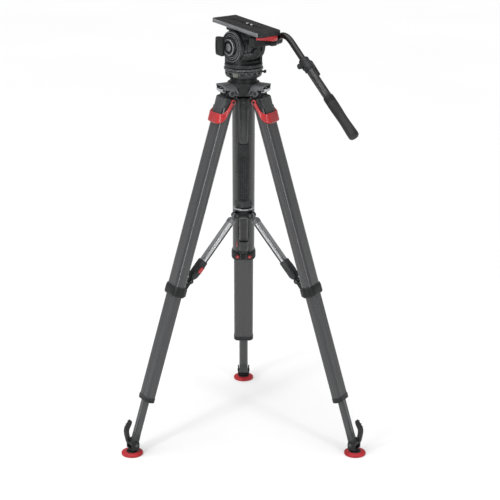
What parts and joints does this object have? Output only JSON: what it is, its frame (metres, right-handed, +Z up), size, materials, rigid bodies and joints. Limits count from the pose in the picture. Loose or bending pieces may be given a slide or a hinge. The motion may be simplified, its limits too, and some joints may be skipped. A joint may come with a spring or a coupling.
{
  "type": "video camera tripod with fluid head",
  "caption": "Carbon-fibre video tripod with telescopic oval legs, mid-level spreader and red brake levers, carrying a fluid head with a long camera plate and a telescopic pan bar.",
  "frame": {"origin": "middle of the bounding box, on the floor", "axes": "+X to the right, +Y away from the front, along the back leg, +Z up"},
  "size_m": [0.6812, 0.6812, 1.1832],
  "materials": {
    "casting": "textured dark grey paint on cast aluminium",
    "carbon": "fine carbon weave under clear lacquer",
    "black_plastic": "fine textured black",
    "grey_plastic": "grained dark grey",
    "head_casting": "satin dark grey paint",
    "red_lever": "smooth red moulding",
    "red_rubber": "red moulded rubber",
    "silver": "satin anodised",
    "steel": "turned bright steel",
    "gloss_black": "gloss black lacquer",
    "rubber": "ribbed black rubber",
    "plate_top": "black anodised with grey edges",
    "liquid": "clear vial with green liquid"
  },
  "bodies": {
    "crown": {"crown": "casting"},
    "ball": {"half_ball": "black_plastic", "clamp_cup": "black_plastic", "pan_base": "head_casting", "bubble_level": "liquid"},
    "tie_down": {"tie_down_handle": "grey_plastic"},
    "spreader": {"spreader_hub": "silver"},
    "spreader_knob": {"spreader_knob": "black_plastic"},
    "drag_ring": {"pan_drag_ring": "black_plastic"},
    "pan_head": {"head_housing": "head_casting"},
    "pan_brake": {"pan_brake_lever": "black_plastic"},
    "tilt_drag": {"tilt_drag_dial": "grey_plastic"},
    "tilt_brake": {"tilt_brake_lever": "black_plastic"},
    "counterbalance": {"counterbalance_dial": "black_plastic"},
    "tilt_head": {"tilt_drum": "head_casting", "tilt_platform": "head_casting", "pan_bar_rosette": "casting"},
    "plate": {"camera_plate": "plate_top"},
    "screw_front": {"camera_screw_front": "steel"},
    "screw_rear": {"camera_screw_rear": "steel"},
    "plate_lock": {"plate_lock_lever": "red_lever"},
    "bar_arm": {"pan_bar_arm": "gloss_black"},
    "bar_tube": {"pan_bar_tube": "gloss_black", "bar_clamp": "black_plastic", "pan_bar_grip": "rubber"},
    "clamp_knob": {"clamp_knob": "black_plastic"},
    "clamp_lever": {"clamp_lever": "black_plastic"},
    "leg_back": {"leg_hinge_back": "grey_plastic", "upper_tube_back": "carbon", "leg_collar_back": "black_plastic"},
    "brake_back": {"brake_lever_back": "red_lever"},
    "middle_back": {"middle_tube_back": "carbon"},
    "lower_back": {"lower_tube_back": "carbon"},
    "foot_back": {"foot_pad_back": "red_rubber"},
    "latch_back": {"foot_latch_back": "rubber"},
    "arm_back": {"spreader_arm_back": "silver"},
    "sleeve_back": {"spreader_sleeve_back": "black_plastic"},
    "button_back": {"spreader_button_back": "red_lever"},
    "leg_left": {"leg_hinge_left": "grey_plastic", "upper_tube_left": "carbon", "leg_collar_left": "black_plastic"},
    "brake_left": {"brake_lever_left": "red_lever"},
    "middle_left": {"middle_tube_left": "carbon"},
    "lower_left": {"lower_tube_left": "carbon"},
    "foot_left": {"foot_pad_left": "red_rubber"},
    "latch_left": {"foot_latch_left": "rubber"},
    "arm_left": {"spreader_arm_left": "silver"},
    "sleeve_left": {"spreader_sleeve_left": "black_plastic"},
    "button_left": {"spreader_button_left": "red_lever"},
    "leg_right": {"leg_hinge_right": "grey_plastic", "upper_tube_right": "carbon", "leg_collar_right": "black_plastic"},
    "brake_right": {"brake_lever_right": "red_lever"},
    "middle_right": {"middle_tube_right": "carbon"},
    "lower_right": {"lower_tube_right": "carbon"},
    "foot_right": {"foot_pad_right": "red_rubber"},
    "latch_right": {"foot_latch_right": "rubber"},
    "arm_right": {"spreader_arm_right": "silver"},
    "sleeve_right": {"spreader_sleeve_right": "black_plastic"},
    "button_right": {"spreader_button_right": "red_lever"}
  },
  "joints": [
    {"name": "leg_swing_back", "type": "hinge", "parent": "crown", "child": "leg_back", "pos_m": [0, 0.00141, 0.994], "axis": [1, 0, 0], "range_deg": [-14, 0]},
    {"name": "pan", "type": "hinge", "parent": "ball", "child": "pan_head", "pos_m": [0, -0.04809, 1.065], "axis": [0, 0, 1], "continuous": true},
    {"name": "tilt", "type": "hinge", "parent": "pan_head", "child": "tilt_head", "pos_m": [0, -0.04809, 1.116], "axis": [0.7912, 0.6115, 0], "range_deg": [-75, 40]},
    {"name": "bar_angle", "type": "hinge", "parent": "tilt_head", "child": "bar_arm", "pos_m": [0.08298, -0.08351, 1.13602], "axis": [-0.7912, -0.6115, 0], "range_deg": [-40, 40]},
    {"name": "bar_length", "type": "slide", "parent": "bar_arm", "child": "bar_tube", "axis": [0.4759, -0.6158, -0.628], "range_m": [-0.03, 0.09]},
    {"name": "plate_slide", "type": "slide", "parent": "tilt_head", "child": "plate", "axis": [-0.6097, 0.7889, 0.0767], "range_m": [-0.05, 0.05]},
    {"name": "ball_level", "type": "hinge", "parent": "crown", "child": "ball", "pos_m": [0, -0.04809, 1.018], "axis": [1, 0, 0], "range_deg": [-10, 10]},
    {"name": "brake_turn_back", "type": "hinge", "parent": "leg_back", "child": "brake_back", "pos_m": [0, 0.00479, 0.97306], "axis": [1, 0, 0], "range_deg": [0, 32]},
    {"name": "brake_turn_left", "type": "hinge", "parent": "leg_left", "child": "brake_left", "pos_m": [-0.0458, -0.07453, 0.97306], "axis": [-0.5, 0.866, 0], "range_deg": [0, 32]},
    {"name": "brake_turn_right", "type": "hinge", "parent": "leg_right", "child": "brake_right", "pos_m": [0.0458, -0.07453, 0.97306], "axis": [-0.5, -0.866, 0], "range_deg": [0, 32]},
    {"name": "middle_slide_left", "type": "slide", "parent": "leg_left", "child": "middle_left", "axis": [-0.2575, -0.1487, -0.9548], "range_m": [-0.28, 0.13]},
    {"name": "lower_slide_left", "type": "slide", "parent": "middle_left", "child": "lower_left", "axis": [-0.2575, -0.1487, -0.9548], "range_m": [-0.05, 0.27]},
    {"name": "foot_tilt_left", "type": "hinge", "parent": "lower_left", "child": "foot_left", "pos_m": [-0.30489, -0.22412, 0.03], "axis": [-0.5, 0.866, 0], "range_deg": [-20, 8]},
    {"name": "latch_turn_left", "type": "hinge", "parent": "foot_left", "child": "latch_left", "pos_m": [-0.31961, -0.23262, 0.038], "axis": [0.5, -0.866, 0], "range_deg": [0, 50]},
    {"name": "plate_lock_turn", "type": "hinge", "parent": "tilt_head", "child": "plate_lock", "pos_m": [0.08037, -0.10956, 1.14859], "axis": [0.0469, -0.0607, 0.9971], "range_deg": [0, 35]},
    {"name": "pan_brake_turn", "type": "hinge", "parent": "ball", "child": "pan_brake", "pos_m": [0, -0.04809, 1.0475], "axis": [0, 0, 1], "range_deg": [0, 20]},
    {"name": "tilt_brake_turn", "type": "hinge", "parent": "pan_head", "child": "tilt_brake", "pos_m": [-0.05913, -0.05335, 1.116], "axis": [0.7912, 0.6115, 0], "range_deg": [-35, 20]},
    {"name": "clamp_lever_turn", "type": "hinge", "parent": "bar_tube", "child": "clamp_lever", "pos_m": [0.17932, -0.16891, 1.08841], "axis": [0.7912, 0.6115, 0], "range_deg": [-45, 45]},
    {"name": "button_press_left", "type": "slide", "parent": "sleeve_left", "child": "button_left", "axis": [-0.5, 0.866, 0], "range_m": [0, 0.0012], "stiffness_N_per_m": 300},
    {"name": "tie_down_turn", "type": "hinge", "parent": "ball", "child": "tie_down", "pos_m": [0, -0.04809, 0.969], "axis": [0, 0, 1], "continuous": true},
    {"name": "clamp_knob_turn", "type": "hinge", "parent": "bar_tube", "child": "clamp_knob", "pos_m": [0.14712, -0.1938, 1.08841], "axis": [0.7912, 0.6115, 0], "continuous": true},
    {"name": "drag_ring_turn", "type": "hinge", "parent": "ball", "child": "drag_ring", "pos_m": [0, -0.04809, 1.056], "axis": [0, 0, 1], "range_deg": [-90, 90]},
    {"name": "spreader_knob_turn", "type": "hinge", "parent": "spreader", "child": "spreader_knob", "pos_m": [0, -0.04809, 0.676], "axis": [0, 0, 1], "continuous": true},
    {"name": "tilt_drag_turn", "type": "hinge", "parent": "pan_head", "child": "tilt_drag", "pos_m": [-0.0364, -0.07622, 1.116], "axis": [0.7912, 0.6115, 0], "range_deg": [-150, 150]},
    {"name": "counterbalance_turn", "type": "hinge", "parent": "pan_head", "child": "counterbalance", "pos_m": [0.0364, -0.01996, 1.116], "axis": [0.7912, 0.6115, 0], "range_deg": [-150, 150]},
    {"name": "screw_turn_front", "type": "hinge", "parent": "plate", "child": "screw_front", "pos_m": [0.01022, -0.06132, 1.1769], "axis": [0.0469, -0.0607, 0.9971], "continuous": true},
    {"name": "middle_slide_back", "type": "slide", "parent": "leg_back", "child": "middle_back", "axis": [0, 0.2974, -0.9548], "range_m": [-0.28, 0.13]},
    {"name": "lower_slide_back", "type": "slide", "parent": "middle_back", "child": "lower_back", "axis": [0, 0.2974, -0.9548], "range_m": [-0.05, 0.27]},
    {"name": "foot_tilt_back", "type": "hinge", "parent": "lower_back", "child": "foot_back", "pos_m": [0, 0.30396, 0.03], "axis": [1, 0, 0], "range_deg": [-20, 8]},
    {"name": "latch_turn_back", "type": "hinge", "parent": "foot_back", "child": "latch_back", "pos_m": [0, 0.32096, 0.038], "axis": [-1, 0, 0], "range_deg": [0, 50]},
    {"name": "leg_swing_left", "type": "hinge", "parent": "crown", "child": "leg_left", "pos_m": [-0.04287, -0.07284, 0.994], "axis": [-0.5, 0.866, 0], "range_deg": [-14, 0]},
    {"name": "leg_swing_right", "type": "hinge", "parent": "crown", "child": "leg_right", "pos_m": [0.04287, -0.07284, 0.994], "axis": [-0.5, -0.866, 0], "range_deg": [-14, 0]},
    {"name": "middle_slide_right", "type": "slide", "parent": "leg_right", "child": "middle_right", "axis": [0.2575, -0.1487, -0.9548], "range_m": [-0.28, 0.13]},
    {"name": "lower_slide_right", "type": "slide", "parent": "middle_right", "child": "lower_right", "axis": [0.2575, -0.1487, -0.9548], "range_m": [-0.05, 0.27]},
    {"name": "foot_tilt_right", "type": "hinge", "parent": "lower_right", "child": "foot_right", "pos_m": [0.30489, -0.22412, 0.03], "axis": [-0.5, -0.866, 0], "range_deg": [-20, 8]},
    {"name": "latch_turn_right", "type": "hinge", "parent": "foot_right", "child": "latch_right", "pos_m": [0.31961, -0.23262, 0.038], "axis": [0.5, 0.866, 0], "range_deg": [0, 50]},
    {"name": "spreader_rise", "type": "slide", "parent": "crown", "child": "spreader", "axis": [0, 0, 1], "range_m": [-0.0002, 0.0399]},
    {"name": "arm_swing_back", "type": "hinge", "parent": "spreader", "child": "arm_back", "pos_m": [0, -0.02109, 0.645], "axis": [1, 0, 0], "range_deg": [-36.98, 0.1]},
    {"name": "sleeve_swing_back", "type": "hinge", "parent": "leg_back", "child": "sleeve_back", "pos_m": [0, 0.12405, 0.47918], "axis": [1, 0, 0], "range_deg": [-22.98, 0.1]},
    {"name": "button_press_back", "type": "slide", "parent": "sleeve_back", "child": "button_back", "axis": [1, 0, 0], "range_m": [0, 0.0012], "stiffness_N_per_m": 300},
    {"name": "arm_swing_left", "type": "hinge", "parent": "spreader", "child": "arm_left", "pos_m": [-0.02338, -0.06159, 0.645], "axis": [-0.5, 0.866, 0], "range_deg": [-36.98, 0.1]},
    {"name": "sleeve_swing_left", "type": "hinge", "parent": "leg_left", "child": "sleeve_left", "pos_m": [-0.14908, -0.13416, 0.47918], "axis": [-0.5, 0.866, 0], "range_deg": [-22.98, 0.1]},
    {"name": "arm_swing_right", "type": "hinge", "parent": "spreader", "child": "arm_right", "pos_m": [0.02338, -0.06159, 0.645], "axis": [-0.5, -0.866, 0], "range_deg": [-36.98, 0.1]},
    {"name": "sleeve_swing_right", "type": "hinge", "parent": "leg_right", "child": "sleeve_right", "pos_m": [0.14908, -0.13416, 0.47918], "axis": [-0.5, -0.866, 0], "range_deg": [-22.98, 0.1]},
    {"name": "button_press_right", "type": "slide", "parent": "sleeve_right", "child": "button_right", "axis": [-0.5, -0.866, 0], "range_m": [0, 0.0012], "stiffness_N_per_m": 300},
    {"name": "screw_turn_rear", "type": "hinge", "parent": "plate", "child": "screw_rear", "pos_m": [0.02059, -0.07473, 1.17559], "axis": [0.0469, -0.0607, 0.9971], "continuous": true}
  ],
  "couplings": [
    {"joint": "leg_swing_left", "follows": "leg_swing_back", "ratio": 1},
    {"joint": "leg_swing_right", "follows": "leg_swing_back", "ratio": 1},
    {"joint": "spreader_rise", "follows": "leg_swing_back", "m_per_rad": -0.16173},
    {"joint": "arm_swing_back", "follows": "leg_swing_back", "ratio": 2.6274},
    {"joint": "sleeve_swing_back", "follows": "leg_swing_back", "ratio": 1.6274},
    {"joint": "arm_swing_left", "follows": "leg_swing_back", "ratio": 2.6274},
    {"joint": "sleeve_swing_left", "follows": "leg_swing_back", "ratio": 1.6274},
    {"joint": "arm_swing_right", "follows": "leg_swing_back", "ratio": 2.6274},
    {"joint": "sleeve_swing_right", "follows": "leg_swing_back", "ratio": 1.6274}
  ]
}
